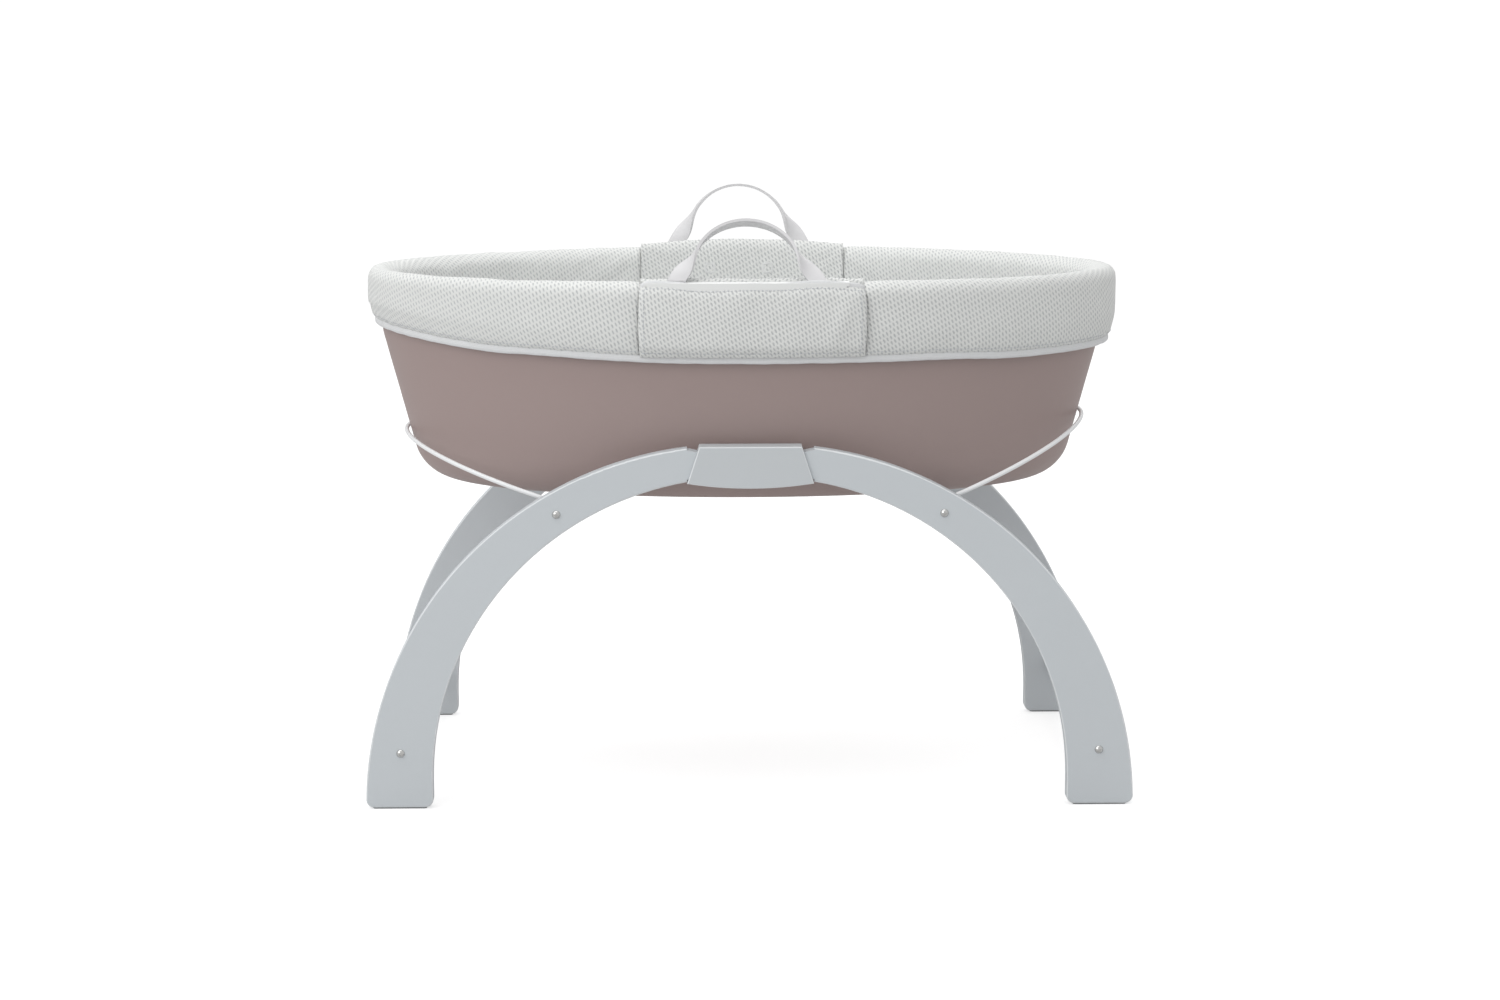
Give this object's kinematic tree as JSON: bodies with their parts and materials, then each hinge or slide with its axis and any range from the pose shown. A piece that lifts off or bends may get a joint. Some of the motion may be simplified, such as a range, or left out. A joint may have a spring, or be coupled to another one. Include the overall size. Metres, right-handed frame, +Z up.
{
  "type": "bassinet on stand",
  "caption": "Oval moulded bassinet with a padded mesh rim, two carry handles and a mattress, resting on an arched stand with wire hoops at its ends.",
  "frame": {"origin": "on the floor, under the middle of the stand", "axes": "+X along the basket, front at -Y, +Z up"},
  "size_m": [0.8633, 0.4816, 0.6598],
  "materials": {
    "painted_wood": "satin paint over shaped board",
    "cover_plastic": "satin moulded",
    "bright_steel": "bright plated",
    "painted_bar": "satin paint",
    "glide_rubber": "matt",
    "nylon": "natural nylon",
    "coated_wire": "white plastic-coated wire",
    "tub_plastic": "satin moulded, taupe",
    "lining_cloth": "plain knitted lining",
    "board": "plain board",
    "mattress_cloth": "quilted jersey cover",
    "mesh_cloth": "three-dimensional spacer mesh",
    "wadding": "polyester wadding",
    "binding_cloth": "elastic binding",
    "patch_plastic": "welded patch",
    "white_plastic": "satin moulded, white",
    "strap_plastic": "smooth flexible strap"
  },
  "bodies": {
    "stand": {"front_right_leg": "painted_wood", "front_left_leg": "painted_wood", "rear_right_leg": "painted_wood", "rear_left_leg": "painted_wood", "foot_glides": "glide_rubber", "front_cover": "cover_plastic", "rear_cover": "cover_plastic", "front_clamp_plate": "cover_plastic", "rear_clamp_plate": "cover_plastic", "front_clamp_screws": "bright_steel", "rear_clamp_screws": "bright_steel", "upper_left_crossbar": "painted_bar", "upper_right_crossbar": "painted_bar", "lower_left_crossbar": "painted_bar", "lower_right_crossbar": "painted_bar", "lower_bolts": "bright_steel", "upper_bolts": "bright_steel", "lower_barrel_nuts": "bright_steel", "upper_barrel_nuts": "bright_steel", "hoop_spacers": "nylon"},
    "left_hoop": {"left_hoop": "coated_wire", "left_hoop_bushes": "nylon"},
    "right_hoop": {"right_hoop": "coated_wire", "right_hoop_bushes": "nylon"},
    "basket": {"tub": "tub_plastic", "inner_lining": "lining_cloth", "base_board": "board", "left_rim_roll": "mesh_cloth", "right_rim_roll": "mesh_cloth", "hem_binding": "binding_cloth", "front_rim_panel": "mesh_cloth", "front_flap": "mesh_cloth", "front_panel_backing": "wadding", "front_lining_patches": "patch_plastic", "front_handle_housing": "white_plastic", "front_housing_screws": "bright_steel", "front_slot_plate": "white_plastic", "front_handle_tails": "strap_plastic", "rear_rim_panel": "mesh_cloth", "rear_flap": "mesh_cloth", "rear_panel_backing": "wadding", "rear_lining_patches": "patch_plastic", "rear_handle_housing": "white_plastic", "rear_housing_screws": "bright_steel", "rear_slot_plate": "white_plastic", "rear_handle_tails": "strap_plastic"},
    "mattress": {"mattress": "mattress_cloth"},
    "front_handle": {"front_handle": "strap_plastic"},
    "rear_handle": {"rear_handle": "strap_plastic"}
  },
  "joints": [
    {"name": "left_hoop_pivot", "type": "hinge", "parent": "stand", "child": "left_hoop", "pos_m": [-0.2135, 0, 0.332], "axis": [0, -1, 0], "range_deg": [0, 105]},
    {"name": "right_hoop_pivot", "type": "hinge", "parent": "stand", "child": "right_hoop", "pos_m": [0.2135, 0, 0.332], "axis": [0, 1, 0], "range_deg": [0, 110]},
    {"name": "basket_lift", "type": "slide", "parent": "stand", "child": "basket", "axis": [0, 0, 1], "range_m": [0, 0.25]},
    {"name": "mattress_lift", "type": "slide", "parent": "basket", "child": "mattress", "axis": [0, 0, 1], "range_m": [0, 0.18]},
    {"name": "front_handle_fold", "type": "hinge", "parent": "basket", "child": "front_handle", "pos_m": [-0.0038, -0.215, 0.5875], "axis": [1, 0, 0], "range_deg": [-18, 88]},
    {"name": "rear_handle_fold", "type": "hinge", "parent": "basket", "child": "rear_handle", "pos_m": [-0.0038, 0.215, 0.5875], "axis": [1, 0, 0], "range_deg": [-45, 38]}
  ]
}
